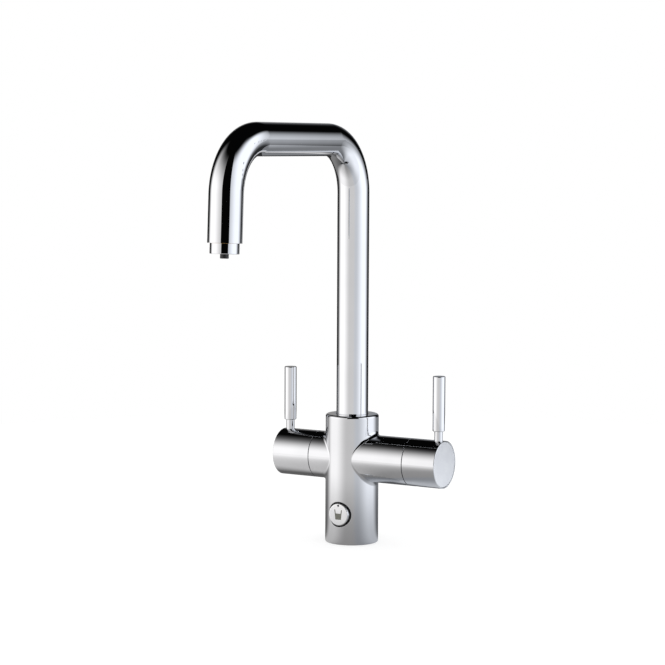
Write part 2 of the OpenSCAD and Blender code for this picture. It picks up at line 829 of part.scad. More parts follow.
module button_spring() {
  points = [for (i = [0:spring_n]) each spring_ring(i)];
  last = spring_n * spring_sides;
  sides = [
    for (i = [0:spring_n - 1], k = [0:spring_sides - 1])
      let (a = i * spring_sides + k, b = i * spring_sides + (k + 1) % spring_sides)
        each [[a, a + spring_sides, b], [b, a + spring_sides, b + spring_sides]]
  ];
  ends = [
    for (k = [1:spring_sides - 2])
      each [[0, k, k + 1], [last, last + k + 1, last + k]]
  ];
  color(steel) on_front() polyhedron(points = points, faces = concat(sides, ends));
}

module button_seal() {
  color(black)
    on_front()
      ring(button_r + running, housing_r_in + wiper_seat - snug, wiper_z + snug,
           wiper_z + wiper_h - snug);
}

// The outline of a tumbler, part filled: the walls stand above the level of the water
module tumbler_outline(grow) {
  half_top = tumbler_w / 2 + grow;
  half_foot = tumbler_w / 2 - tumbler_taper + grow;
  half_h = tumbler_h / 2 + grow;
  level = tumbler_fill - tumbler_h / 2 + grow;
  wall = tumbler_wall + 2 * grow;
  inner_taper = tumbler_taper * (half_h - level) / (2 * half_h);
  polygon([
    [-half_top, half_h], [-half_foot, -half_h], [half_foot, -half_h], [half_top, half_h],
    [half_top - wall, half_h], [half_top - wall - inner_taper, level],
    [-half_top + wall + inner_taper, level], [-half_top + wall, half_h]
  ]);
}

module button_cap() {
  plate = button_face - cap_plate_t;
  color(satin)
    on_front()
      difference() {
        bevelled_bar(button_r, cap_skirt, button_face, 0, button_bevel);
        ring(post_r, button_r - skirt_wall, cap_skirt - eps, plate);
        translate([0, 0, button_face - inlay_t]) linear_extrude(inlay_t + eps) tumbler_outline(snug);
        translate([0, dot_up, plate - eps]) cylinder(r = dot_r, h = cap_plate_t + 2 * eps);
      }
}

module tumbler_inlay() {
  color(pictogram_grey)
    on_front() translate([0, 0, button_face - inlay_t]) linear_extrude(inlay_t) tumbler_outline(0);
}

module indicator_lens() {
  color(black)
    on_front()
      translate([0, dot_up, button_face - cap_plate_t])
        cylinder(r = dot_r - snug, h = cap_plate_t);
}

body();
base_gasket();
thrust_washer();
upper_glide_ring();
stop_screw();
inner_tube_seal();
spout_tube();
spout_spigot();
lower_glide_ring();
spigot_orings();
inner_tube_spider();
inner_tube();
outlet_bush();
aerator_washer();
aerator_housing();
aerator_core();
boiling_nozzle();
mixer_gasket();
mixer_base();
mixer_shell();
mixer_fixed_disc();
mixer_moving_disc();
mixer_spindle();
mixer_spindle_oring();
mixer_washer();
mixer_nut();
right_seam_ring();
right_handle();
right_end_cap();
right_lever();
right_grub_screw();
valve_gasket();
valve_base();
valve_shell();
valve_fixed_disc();
valve_moving_disc();
valve_spindle();
valve_spindle_oring();
valve_washer();
valve_nut();
left_seam_ring();
left_handle();
left_end_cap();
left_lever();
left_grub_screw();
button_housing();
button_switch();
button_spring();
button_seal();
button_cap();
tumbler_inlay();
indicator_lens();
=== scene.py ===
import math

import bpy
from mathutils import Matrix, Vector
from mathutils.geometry import delaunay_2d_cdt


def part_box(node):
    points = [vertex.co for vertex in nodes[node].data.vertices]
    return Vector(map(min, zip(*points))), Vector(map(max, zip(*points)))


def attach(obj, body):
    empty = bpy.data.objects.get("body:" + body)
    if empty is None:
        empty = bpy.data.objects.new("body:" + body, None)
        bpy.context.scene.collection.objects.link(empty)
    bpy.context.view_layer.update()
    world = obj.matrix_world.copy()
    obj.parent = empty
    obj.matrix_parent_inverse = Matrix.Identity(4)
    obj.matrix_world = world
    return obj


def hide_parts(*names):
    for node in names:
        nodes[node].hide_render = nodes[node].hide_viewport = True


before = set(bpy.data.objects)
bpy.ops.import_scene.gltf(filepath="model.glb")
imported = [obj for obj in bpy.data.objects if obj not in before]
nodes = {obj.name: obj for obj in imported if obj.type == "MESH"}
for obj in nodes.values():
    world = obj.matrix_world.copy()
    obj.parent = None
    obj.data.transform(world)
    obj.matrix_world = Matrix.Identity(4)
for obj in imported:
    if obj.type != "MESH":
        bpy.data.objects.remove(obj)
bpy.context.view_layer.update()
mm = 0.001               # pieces are drawn in millimetres and scaled to metres when placed

# ---------------------------------------------------------------------------- camera
# A long lens stands to the tap's right, level with its top run, and looks slightly down.
# Bearings run from -Y towards +X, so that the spout's own direction is bearing zero.
camera_bearing = math.radians(29.577)
camera_away = 1.8251     # metres from the tap's upright axis
camera_height = 0.3513   # metres above the worktop
look_bearing = math.radians(30.137)
look_down = math.radians(5.174)
roll = math.radians(0.262)
picture_px = 665
focal_px = 2075.85
sensor_mm = 36

forward = Vector((
    -math.sin(look_bearing) * math.cos(look_down),
    math.cos(look_bearing) * math.cos(look_down),
    -math.sin(look_down),
))
level_right = Vector((math.cos(look_bearing), math.sin(look_bearing), 0))
level_up = level_right.cross(forward)
camera_right = level_right * math.cos(roll) + level_up * math.sin(roll)
camera_up = level_up * math.cos(roll) - level_right * math.sin(roll)
toward_camera = Vector((math.sin(camera_bearing), -math.cos(camera_bearing), 0))
beside_camera = Vector((math.cos(camera_bearing), math.sin(camera_bearing), 0))

camera_data = bpy.data.cameras.new("camera")
camera_data.sensor_width = sensor_mm
camera_data.lens = focal_px / picture_px * sensor_mm
camera = bpy.data.objects.new("camera", camera_data)
bpy.context.scene.collection.objects.link(camera)
camera_place = Matrix.Translation(toward_camera * camera_away + Vector((0, 0, camera_height)))
camera_axes = Matrix((camera_right, camera_up, -forward)).transposed().to_4x4()
camera.matrix_world = camera_place @ camera_axes
bpy.context.scene.camera = camera
bpy.context.scene.view_settings.view_transform = "Standard"


# ---------------------------------------------------------------------------- surround
# An even white surround lights everything from all sides, as a white cyclorama does.
def linear(hex_colour):
    """The linear colour of an sRGB hex value."""
    channels = [int(hex_colour[i:i + 2], 16) / 255 for i in (1, 3, 5)]
    return [c / 12.92 if c <= 0.04045 else ((c + 0.055) / 1.055) ** 2.4 for c in channels] + [1]


def add_node(tree, kind, settings=(), links=()):
    """Adds a node. settings fills its sockets and properties, and links joins inputs to outputs."""
    node = tree.nodes.new("ShaderNode" + kind)
    for key, value in dict(settings).items():
        if key == "stops":
            ramp = node.color_ramp
            while len(ramp.elements) < len(value):
                ramp.elements.new(0.5)
            for element, (position, colour) in zip(ramp.elements, value):
                element.position = position
                element.color = colour
        elif isinstance(key, int) or key in node.inputs:
            node.inputs[key].default_value = value
        else:
            setattr(node, key, value)
    for key, source in dict(links).items():
        output = source if isinstance(source, bpy.types.NodeSocket) else source.outputs[0]
        tree.links.new(output, node.inputs[key])
    return node


def empty_material(name):
    """A new material with only its output node, and that node."""
    material = bpy.data.materials.new(name)
    material.use_nodes = True
    material.node_tree.nodes.clear()
    return material, add_node(material.node_tree, "OutputMaterial")


surround = bpy.data.worlds.new("white_surround")
surround.use_nodes = True
surround.node_tree.nodes["Background"].inputs["Color"].default_value = linear("#FFFFFF")
surround.cycles.sampling_method = "NONE"
bpy.context.scene.world = surround


# ---------------------------------------------------------------------------- worktop
# The tap stands on a round pale worktop. The camera sees it white with a faint shadow. The
# metal sees painted light and shade on it: its colour is painted bright towards the light
# panels, dim in front and behind, with a painted shadow of the tap round the foot.
def bearing_of(tree):
    """The bearing of a point about the tap, in degrees to the right of the camera's."""
    point = add_node(tree, "TexCoord").outputs["Object"]
    ahead = add_node(tree, "VectorMath", {"operation": "DOT_PRODUCT", 1: toward_camera}, {0: point})
    aside = add_node(tree, "VectorMath", {"operation": "DOT_PRODUCT", 1: beside_camera}, {0: point})
    turn = add_node(
        tree, "Math", {"operation": "ARCTAN2"},
        {0: aside.outputs["Value"], 1: ahead.outputs["Value"]},
    )
    return add_node(tree, "Math", {"operation": "DEGREES"}, {0: turn})


def eased(tree, source, start, end, first=0, last=1):
    """Goes softly from first to last while the source goes from start to end."""
    return add_node(tree, "MapRange", {
        "interpolation_type": "SMOOTHSTEP", "From Min": start, "From Max": end,
        "To Min": first, "To Max": last,
    }, {"Value": source})


def joined(tree, operation, *sources):
    """The product or the sum of some values."""
    result = sources[0]
    for source in sources[1:]:
        result = add_node(tree, "Math", {"operation": operation}, {0: result, 1: source})
    return result


# The light comes from both sides alike: the tent's panels give it, and on the worktop it is
# painted light. What stands in front gets less of it, and what stands behind gets least.
# Bearings are in degrees off the camera's.
front_share = 0.55       # straight in front, as a share of the sides' light
front_to = 20            # the front's level holds up to here
sides_from = 75          # the sides' level holds from here
sides_to = 95            # up to here
back_from = 133          # the back's level holds from here
warm_white = (1.0, 0.985, 0.98, 1)
cool_white = (0.93, 0.96, 1.02, 1)


def side_light(tree, bearing, back_share):
    """How much light there is at a bearing, as a share of what the sides get; on the worktop this is
    painted light.
    """
    off = add_node(tree, "Math", {"operation": "ABSOLUTE"}, {0: bearing})
    front = eased(tree, off, front_to, sides_from, front_share, 1)
    back = eased(tree, off, sides_to, back_from, 1, back_share)
    return joined(tree, "MULTIPLY", front, back)


def tinted(tree, bearing, level):
    """A level of light as a colour, a little cooler on the right."""
    side = eased(tree, bearing, 0, front_to)
    tint = add_node(tree, "Mix", {"data_type": "RGBA", "A": warm_white, "B": cool_white}, {0: side})
    return add_node(
        tree, "VectorMath", {"operation": "SCALE"}, {0: tint.outputs["Result"], "Scale": level},
    ).outputs[0]


worktop_radius = 0.87
worktop_gap = 0.0002     # keeps the worktop just clear of the tap's foot
painted_foot_shade = 0.5         # painted shade: the worktop's painted light close to the foot, as a share of that far off
near_to = 0.03           # metres from the foot's middle
far_from = 0.45
worktop_behind = 0.2     # painted shade: the share of the sides' light painted behind the tap
worktop_grey = 0.38      # what the camera sees: this share of the light that reaches the worktop
worktop_glow = 0.7       # and this much more, so that it clips to white outside the shadow
brightest = 1.3          # the strength of the brightest part that the metal sees
board_share = 0.35       # how much of what the metal sees can be shaded by the tap

worktop_paint, output = empty_material("pale_worktop")
tree = worktop_paint.node_tree
bearing = bearing_of(tree)
point = add_node(tree, "TexCoord").outputs["Object"]
away = add_node(tree, "VectorMath", {"operation": "LENGTH"}, {0: point}).outputs["Value"]
# painted light and shade: the level that reflections see, by bearing and by distance from the foot
painted_light = tinted(tree, bearing, joined(
    tree, "MULTIPLY", side_light(tree, bearing, worktop_behind),
    eased(tree, away, near_to, far_from, painted_foot_shade, 1),
))
ray = add_node(tree, "LightPath")
shaded = add_node(
    tree, "VectorMath", {"operation": "MULTIPLY", 1: [brightest * board_share] * 3}, {0: painted_light},
)
board_colour = add_node(
    tree, "Mix", {"data_type": "RGBA", "B": [worktop_grey] * 3 + [1]},
    {0: ray.outputs["Is Camera Ray"]},
)
tree.links.new(shaded.outputs[0], board_colour.inputs["A"])
board = add_node(tree, "BsdfDiffuse", links={"Color": board_colour.outputs["Result"]})
# the painted light glows for reflections; for the camera the glow is plain white
glow_colour = add_node(
    tree, "Mix", {"data_type": "RGBA", "B": [1, 1, 1, 1]}, {0: ray.outputs["Is Camera Ray"]},
)
tree.links.new(painted_light, glow_colour.inputs["A"])
glow_strength = add_node(tree, "MapRange", {
    "To Min": brightest * (1 - board_share), "To Max": worktop_glow,
}, {"Value": ray.outputs["Is Camera Ray"]})
glow = add_node(
    tree, "Emission", links={"Color": glow_colour.outputs["Result"], "Strength": glow_strength},
)
together = add_node(tree, "AddShader", links={0: board, 1: glow})
tree.links.new(together.outputs[0], output.inputs["Surface"])
worktop_paint.cycles.emission_sampling = "NONE"

bpy.ops.object.select_all(action="DESELECT")
bpy.ops.mesh.primitive_circle_add(
    vertices=128, radius=worktop_radius, fill_type="NGON", location=(0, 0, -worktop_gap),
)
worktop = bpy.context.object
worktop.name = "worktop"
worktop.data.materials.append(worktop_paint)

# ---------------------------------------------------------------------------- light tent
# What the polished metal mirrors beyond the worktop: a tall soft panel on each side, a pale
# low wall all round the front, a dim one behind, and darkness elsewhere. Only reflections
# see it. Bearings are in degrees to the right of the camera's, heights in degrees above the
# horizon.
tent_radius = 15
panel_strength = 1.45
tent_dark = 0.002
panel_foot = 1           # height at which the panels reach their full light
left_inner = -23         # bearings of the left panel's edges
left_outer = (-130, -100)
left_fades = (12, 64)    # heights between which it fades out
right_inner = 30
right_outer = (105, 133)
right_fades = (33, 60)
inner_soft = 0.7         # how soft the panels' inner edges are
panel_lean = 35          # degrees that the right panel's outer edge comes in at its top
leans = (26, 57)         # heights between which it does
wall_behind = 0.02
dim_level = 0.22         # the wall behind the tap
dim_bearings = (148, 178)
dim_rises = (-1, 2)
dim_fades = (8, 32)

tent_cloth, output = empty_material("light_tent")
tree = tent_cloth.node_tree
bearing = bearing_of(tree)
point = add_node(tree, "TexCoord").outputs["Object"]
outward = add_node(tree, "VectorMath", {"operation": "NORMALIZE"}, {0: point})
height = add_node(tree, "SeparateXYZ", links={0: outward})
up = add_node(tree, "Math", {"operation": "ARCSINE"}, {0: height.outputs["Z"]})
up = add_node(tree, "Math", {"operation": "DEGREES"}, {0: up})
above = eased(tree, up, 0, panel_foot)
below = eased(tree, up, 0, panel_foot, 1, 0)
leaned = joined(tree, "ADD", bearing, eased(tree, up, *leans, 0, panel_lean))
sides = side_light(tree, bearing, 1)
left_panel = joined(
    tree, "MULTIPLY", sides, above, eased(tree, up, *left_fades, 1, 0),
    eased(tree, bearing, *left_outer), eased(tree, bearing, left_inner - inner_soft, left_inner, 1, 0),
)
right_panel = joined(
    tree, "MULTIPLY", sides, above, eased(tree, up, *right_fades, 1, 0),
    eased(tree, leaned, *right_outer, 1, 0), eased(tree, bearing, right_inner, right_inner + inner_soft),
)
low_wall = joined(tree, "MULTIPLY", side_light(tree, bearing, wall_behind), below)
off = add_node(tree, "Math", {"operation": "ABSOLUTE"}, {0: bearing})
dim_wall = joined(
    tree, "MULTIPLY", eased(tree, off, *dim_bearings, 0, dim_level), eased(tree, up, *dim_rises),
    eased(tree, up, *dim_fades, 1, 0),
)
level = joined(tree, "ADD", left_panel, right_panel, low_wall, dim_wall)
strength = add_node(
    tree, "Math", {"operation": "MULTIPLY_ADD", 1: panel_strength, 2: tent_dark}, {0: level},
)
seen = tinted(tree, bearing, strength)
shine = add_node(tree, "Emission", links={"Color": seen})
tree.links.new(shine.outputs[0], output.inputs["Surface"])
tent_cloth.cycles.emission_sampling = "NONE"

bpy.ops.mesh.primitive_uv_sphere_add(segments=64, ring_count=32, radius=tent_radius)
tent = bpy.context.object
tent.name = "light_tent"
tent.data.materials.append(tent_cloth)
tent.visible_camera = False
tent.visible_diffuse = False
tent.visible_shadow = False


# ---------------------------------------------------------------------------- body
# The body is one brass casting, machined, polished and chromed. Its two side bosses grow out
# of it through soft rolled fillets, which no operator draws where two round bars cross, so
# this shell's points are worked out. Its waterways are too deep inside to show.
def finish(name, colours, metallic, roughness, patch, grain, relief):
    """A material whose colour and roughness drift over patches and whose grain stands out of it.

    patch and grain are sizes in millimetres, relief a height in micrometres."""
    material, output = empty_material(name)
    tree = material.node_tree
    point = add_node(tree, "TexCoord").outputs["Object"]
    drift = add_node(tree, "TexNoise", {"Scale": 1 / (patch * mm), "Detail": 3}, {"Vector": point})
    fine = add_node(tree, "TexNoise", {"Scale": 1 / (grain * mm), "Detail": 2}, {"Vector": point})
    low, high = 0.35, 0.65    # most of the noise lies between these
    tint = add_node(tree, "ValToRGB", {"stops": [
        (low, linear(colours[0])), (high, linear(colours[1])),
    ]}, {"Fac": drift})
    gloss = add_node(tree, "MapRange", {
        "From Min": low, "From Max": high, "To Min": roughness[0], "To Max": roughness[1],
    }, {"Value": drift})
    bump = add_node(
        tree, "Bump", {"Strength": 1, "Distance": relief * mm * mm}, {"Height": fine},
    )
    shader = add_node(tree, "BsdfPrincipled", {"Metallic": metallic}, {
        "Base Color": tint, "Roughness": gloss, "Normal": bump,
    })
    tree.links.new(shader.outputs[0], output.inputs["Surface"])
    return material


# Bright chrome plate over polished brass: a neutral mirror, hazed a little where it is wiped,
# with the long, very shallow waves that buffing leaves.
polished_chrome = finish(
    "polished_chrome", ("#DADBDD", "#DEDFE1"), 1, (0.015, 0.035), patch=35, grain=22, relief=10,
)


def ring(radius, height, steps, start):
    """Points round the Z axis, in order, from the bearing start."""
    turns = [start + 2 * math.pi * i / steps for i in range(steps)]
    return [Vector((radius * math.cos(a), radius * math.sin(a), height)) for a in turns]


def rounded(corners):
    """Points of an outline given as (radius, height, rounding), with each corner's arc drawn."""
    steps = 6
    points = []
    for i, (r, z, rounding) in enumerate(corners):
        here = Vector((r, z))
        if not rounding:
            points.append(here)
            continue
        back = (Vector(corners[i - 1][:2]) - here).normalized()
        on = (Vector(corners[(i + 1) % len(corners)][:2]) - here).normalized()
        half = back.angle(on) / 2
        middle = here + (back + on).normalized() * rounding / math.sin(half)
        first = here + back * rounding / math.tan(half) - middle
        last = here + on * rounding / math.tan(half) - middle
        sweep = first.angle_signed(last)
        for k in range(steps + 1):
            points.append(middle + Matrix.Rotation(-sweep * k / steps, 2) @ first)
    return points


def true_round(piece, *rounds):
    """Gives each round face, told by a point on its axis, its axis and its radius, exact normals."""
    mesh = piece.data
    near = 0.02 * mm          # a corner this near to the radius lies on the round face
    outwards = 0.8            # and so does its face, if its normal leans out at least this much
    normals = [corner.vector.copy() for corner in mesh.corner_normals]
    for face in mesh.polygons:
        for i in face.loop_indices:
            place = mesh.vertices[mesh.loops[i].vertex_index].co
            for centre, axis, radius in rounds:
                out = place - Vector(centre) * mm
                out = out - out.dot(axis) * axis
                on_radius = abs(out.length - radius * mm) < near
                if on_radius and face.normal.dot(out) > outwards * out.length:
                    normals[i] = out.normalized()
    mesh.normals_split_custom_set(normals)


def settle(piece, place=Matrix(), crease=30):
    """Scales a piece to metres, puts its mesh in place and smooths it, up to the crease angle."""
    piece.data.transform(Matrix.Scale(mm, 4) @ place)
    bpy.ops.object.select_all(action="DESELECT")
    piece.select_set(True)
    bpy.context.view_layer.objects.active = piece
    bpy.ops.object.shade_smooth_by_angle(angle=math.radians(crease))


def cut(piece, *tools, how="DIFFERENCE"):
    """Cuts the tools out of a piece, or joins them to it, and throws the tools away."""
    bpy.context.view_layer.objects.active = piece
    for tool in tools:
        boolean = piece.modifiers.new("cut", "BOOLEAN")
        boolean.operation = how
        boolean.solver = "EXACT"
        boolean.object = tool
        bpy.ops.object.modifier_apply(modifier=boolean.name)
        bpy.data.objects.remove(tool)


def drill(radius, start, end, countersink=0.0):
    """A drill from start to end, in millimetres, with a small countersink at its start."""
    start, end = Vector(start), Vector(end)
    along = end - start
    bpy.ops.object.select_all(action="DESELECT")
    bpy.ops.mesh.primitive_cylinder_add(vertices=64, radius=radius, depth=along.length)
    bit = bpy.context.object
    turn = Vector((0, 0, 1)).rotation_difference(along.normalized()).to_matrix().to_4x4()
    bit.data.transform(Matrix.Translation((start + end) / 2) @ turn)
    if countersink:
        for vertex in bit.data.vertices:
            if (vertex.co - start).dot(along) < 0.5 * along.length_squared:
                vertex.co = start + (vertex.co - start) * (1 + countersink / radius)
    return bit


body_low, body_high = (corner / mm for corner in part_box("body"))
handle_low, handle_high = (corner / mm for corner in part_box("right_handle"))
body_r = body_high.y
body_top = body_high.z
boss_r = (handle_high.z - handle_low.z) / 2
boss_z = (handle_high.z + handle_low.z) / 2
boss_fillet = 3.6
rim_round = 2.2
foot_round = 1.0
around = 192             # points round the body and round each boss
rows = 36                # rows of points up the skin
cut_at = math.radians(105)    # where the skin is slit to be rolled out flat
socket_r = 14.3
socket_floor = body_top - 13.2
bore_r = 11.2
bore_floor = socket_floor - 20
glide_r = 15.8
glide_low = socket_floor + 4.2
glide_high = glide_low + 7
pocket_z = 27.0
pocket_r = 11.2
pocket_edge = 0.45
pocket_floor = 10.4
nut_r = 15.0
chamber_r = 13.6
boss_end_round = 0.1
nut_bore_round = 0.3
right_nut_depth = 11
left_nut_depth = 10
right_chamber_floor = 24    # from the body's upright axis
left_chamber_floor = 14
stud_r = 3.4
stud_depth = 18
groove_out = 21.4
groove_in = 18.6
groove_depth = 2
port_r = 4.45
port_depth = 12
port_x = 11
port_y = 7
lead_r = 1.8
lead_y = -14.2
stop_r = 2.5
stop_z = bore_floor + 9.5
drill_over = 1           # how far a drill starts outside the metal

shell_points = []
shell_faces = []


def band(rings, lid=False):
    """Joins rings of points by bands of four-sided faces, and may close the last with a lid."""
    start = len(shell_points)
    count = len(rings[0])
    for points in rings:
        shell_points.extend(points)
    for k in range(len(rings) - 1):
        for i in range(count):
            j = (i + 1) % count
            a = start + k * count
            shell_faces.append((a + i, a + j, a + count + j, a + count + i))
    if lid:
        shell_faces.append(tuple(range(len(shell_points) - count, len(shell_points))))


def fillet_rings(side):
    """Rings from the body's skin to a boss's skin, along a ball rolled round their corner."""
    steps = 10
    rings = [[] for _ in range(steps + 1)]
    for i in range(around):
        t = 2 * math.pi * i / around
        y = (boss_r + boss_fillet) * math.sin(t)
        x = side * math.sqrt((body_r + boss_fillet) ** 2 - y ** 2)
        ball = Vector((x, y, (boss_r + boss_fillet) * math.cos(t)))
        to_body = -Vector((x, y, 0)).normalized()
        to_boss = -Vector((0, math.sin(t), math.cos(t)))
        for k in range(steps + 1):
            touch = ball + boss_fillet * to_body.slerp(to_boss, k / steps)
            rings[k].append(touch + Vector((0, 0, boss_z)))
    return rings


def boss(side, reach, shoulder, floor):
    """One boss with its fillet, its bevelled end and the stepped bore for its cartridge."""
    rings = fillet_rings(side)
    band(rings)
    outline = rounded([
        (boss_r, shoulder, 0), (boss_r, reach, boss_end_round), (nut_r, reach, nut_bore_round),
        (nut_r, shoulder, 0), (chamber_r, shoulder, 0), (chamber_r, floor, 0),
    ])
    tube = [rings[-1]]
    for r, x in outline[1:]:
        turns = [2 * math.pi * i / around for i in range(around)]
        tube.append([Vector((side * x, r * math.sin(t), boss_z + r * math.cos(t))) for t in turns])
    band(tube, lid=True)
    return rings[0]


right_mouth = boss(1, body_high.x, body_high.x - right_nut_depth, right_chamber_floor)
left_mouth = boss(-1, -body_low.x, -body_low.x - left_nut_depth, left_chamber_floor)

# the pocket for the button: its edge turns in from the skin over a small radius
pocket_rings = []
edge_steps = 6
for k in range(edge_steps + 1):
    bend = math.radians(90 / edge_steps * k)
    r = pocket_r + pocket_edge * (1 - math.sin(bend))
    pocket_rings.append([])
    for i in range(around // 2):
        a = 4 * math.pi * i / around
        x, z = r * math.cos(a), r * math.sin(a)
        y = math.sqrt(body_r ** 2 - x ** 2) - pocket_edge * (1 - math.cos(bend))
        pocket_rings[-1].append(Vector((x, -y, pocket_z + z)))
pocket_rings.append([Vector((p.x, -pocket_floor, p.z)) for p in pocket_rings[-1]])
band(pocket_rings, lid=True)

# the top: rounded rim, spout socket with its glide ring's groove, and the spigot's bore
top_outline = rounded([
    (body_r, bore_floor, 0), (body_r, body_top, rim_round), (socket_r, body_top, 0.4),
    (socket_r, glide_high, 0), (glide_r, glide_high, 0), (glide_r, glide_low, 0),
    (socket_r, glide_low, 0), (socket_r, socket_floor, 0), (bore_r, socket_floor, 0),
    (bore_r, bore_floor, 0),
])[1:]
band([ring(r, z, around, cut_at) for r, z in top_outline], lid=True)

# the foot: rounded edge, gasket groove and stud hole
foot_outline = rounded([
    (body_r, bore_floor, 0), (body_r, 0, foot_round), (groove_out, 0, 0),
    (groove_out, groove_depth, 0), (groove_in, groove_depth, 0), (groove_in, 0, 0),
    (stud_r, 0, 0), (stud_r, stud_depth, 0),
])[1:]
band([ring(r, z, around, cut_at) for r, z in foot_outline], lid=True)

# the skin between them, drawn flat as (arc length, height) and rolled up
skin_low = foot_outline[0].y
skin_high = top_outline[0].y
flat_points = []
flat_edges = []


def unrolled(place):
    """Where a point of the skin lies when the skin is rolled out flat."""
    turn = (math.atan2(place.y, place.x) - cut_at) % (2 * math.pi)
    return Vector((body_r * turn, place.z))


for mouth in (right_mouth, left_mouth, pocket_rings[0]):
    start = len(flat_points)
    flat_points += [unrolled(place) for place in mouth]
    flat_edges += [(start + i, start + (i + 1) % len(mouth)) for i in range(len(mouth))]
boss_half_y = (boss_r + boss_fillet) * body_r / (body_r + boss_fillet)
boss_half_z = boss_r + boss_fillet


def in_mouth(flat, spare):
    """Whether a point of the flat skin lies in one of the holes, or too near to one."""
    turn = cut_at + flat.x / body_r
    x, y, z = body_r * math.cos(turn), body_r * math.sin(turn), flat.y
    in_boss = math.hypot(y / (boss_half_y + spare), (z - boss_z) / (boss_half_z + spare)) < 1
    in_pocket = y < 0 and math.hypot(x, z - pocket_z) < pocket_r + pocket_edge + spare
    return in_boss or in_pocket


mouth_clear = 0.5        # the skin's own points keep this far from the mouths
for i in range(around + 1):
    for j in range(rows + 1):
        spot = Vector((
            2 * math.pi * body_r * i / around, skin_low + (skin_high - skin_low) * j / rows,
        ))
        if not in_mouth(spot, mouth_clear):
            flat_points.append(spot)
same_spot = 0.0001
spread = delaunay_2d_cdt(flat_points, flat_edges, [], 0, same_spot)
start = len(shell_points)
for flat in spread[0]:
    turn = cut_at + flat.x / body_r
    shell_points.append(Vector((body_r * math.cos(turn), body_r * math.sin(turn), flat.y)))
for face in spread[2]:
    middle = sum((spread[0][i] for i in face), Vector((0, 0))) / len(face)
    if not in_mouth(middle, 0):
        shell_faces.append(tuple(start + i for i in face))

shell_mesh = bpy.data.meshes.new("body_casting")
shell_mesh.from_pydata(shell_points, [], shell_faces)
body_casting = bpy.data.objects.new("body_casting", shell_mesh)
bpy.context.scene.collection.objects.link(body_casting)
bpy.ops.object.select_all(action="DESELECT")
body_casting.select_set(True)
bpy.context.view_layer.objects.active = body_casting
bpy.ops.object.mode_set(mode="EDIT")
bpy.ops.mesh.select_all(action="SELECT")
seam_weld = 0.004        # joins the skin to the rims of its holes
bpy.ops.mesh.remove_doubles(threshold=seam_weld)
bpy.ops.mesh.normals_make_consistent(inside=False)
bpy.ops.object.mode_set(mode="OBJECT")
for y in (port_y, -port_y):
    for x in (port_x, -port_x):
        cut(body_casting, drill(port_r, (x, y, -drill_over), (x, y, port_depth)))
cut(
    body_casting,
    drill(lead_r, (0, lead_y, -drill_over), (0, lead_y, pocket_z - pocket_r + lead_r)),
    drill(stop_r, (0, body_r + drill_over, stop_z), (0, bore_r - 2 * drill_over, stop_z)),
)
settle(body_casting)
upright = Vector((0, 0, 1))
sideways = Vector((1, 0, 0))
true_round(body_casting, ((0, 0, 0), upright, body_r), ((0, 0, boss_z), sideways, boss_r))
body_casting.data.materials.append(polished_chrome)
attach(body_casting, "base")
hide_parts("body")

# ---------------------------------------------------------------------------- spout tube
# One drawn brass tube, bent twice, polished and chromed: column, top run and a drop that
# leans out a little. It turns in the body's socket.
tube_low, tube_high = (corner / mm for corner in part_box("spout_tube"))
tube_r = tube_high.x
tube_wall = 1.2
tube_foot = tube_low.z
run_z = tube_high.z - tube_r
reach = 204.6
bend_r = 46.2
lean = math.radians(2.8)
drop_end = 273.0
bend_z = run_z - bend_r
drop_length = (bend_z + bend_r * math.sin(lean) - drop_end) / math.cos(lean)
drop_frame = (
    Matrix.Translation((0, bend_r - reach, bend_z))
    @ Matrix.Rotation(-lean, 4, "X")
    @ Matrix.Translation((0, -bend_r, -drop_length))
)
drop_down = drop_frame.to_3x3() @ Vector((0, 0, -1))
column_steps = 12
bend_steps = 40
run_steps = 6
drop_steps = 4

bpy.ops.object.select_all(action="DESELECT")
bpy.ops.mesh.primitive_circle_add(
    vertices=128, radius=tube_r, fill_type="NOTHING", location=(0, 0, tube_foot),
)
spout = bpy.context.object
spout.name = "bent_spout"
bpy.ops.object.transform_apply(location=True)
bpy.ops.object.mode_set(mode="EDIT")
bpy.ops.mesh.select_all(action="SELECT")
for _ in range(column_steps):
    bpy.ops.mesh.extrude_region_move(
        TRANSFORM_OT_translate={"value": (0, 0, (bend_z - tube_foot) / column_steps)},
    )
bpy.ops.mesh.spin(
    steps=bend_steps, angle=math.radians(90), center=(0, -bend_r, bend_z), axis=(-1, 0, 0),
)
for _ in range(run_steps):
    bpy.ops.mesh.extrude_region_move(
        TRANSFORM_OT_translate={"value": (0, (2 * bend_r - reach) / run_steps, 0)},
    )
bpy.ops.mesh.spin(
    steps=bend_steps, angle=math.radians(90) - lean, center=(0, bend_r - reach, bend_z),
    axis=(-1, 0, 0),
)
for _ in range(drop_steps):
    bpy.ops.mesh.extrude_region_move(
        TRANSFORM_OT_translate={"value": drop_down * drop_length / drop_steps},
    )
bpy.ops.mesh.select_all(action="SELECT")
bpy.ops.mesh.remove_doubles(threshold=0.001)
bpy.ops.mesh.normals_make_consistent(inside=False)
bpy.ops.object.mode_set(mode="OBJECT")
wall = spout.modifiers.new("wall", "SOLIDIFY")
wall.thickness = tube_wall
wall.offset = -1
bpy.ops.object.modifier_apply(modifier=wall.name)
settle(spout, crease=40)
true_round(
    spout,
    ((0, 0, 0), upright, tube_r),
    ((0, 0, run_z), Vector((0, 1, 0)), tube_r),
    (drop_frame.translation, drop_down, tube_r),
)
spout.data.materials.append(polished_chrome)
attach(spout, "spout")
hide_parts("spout_tube")


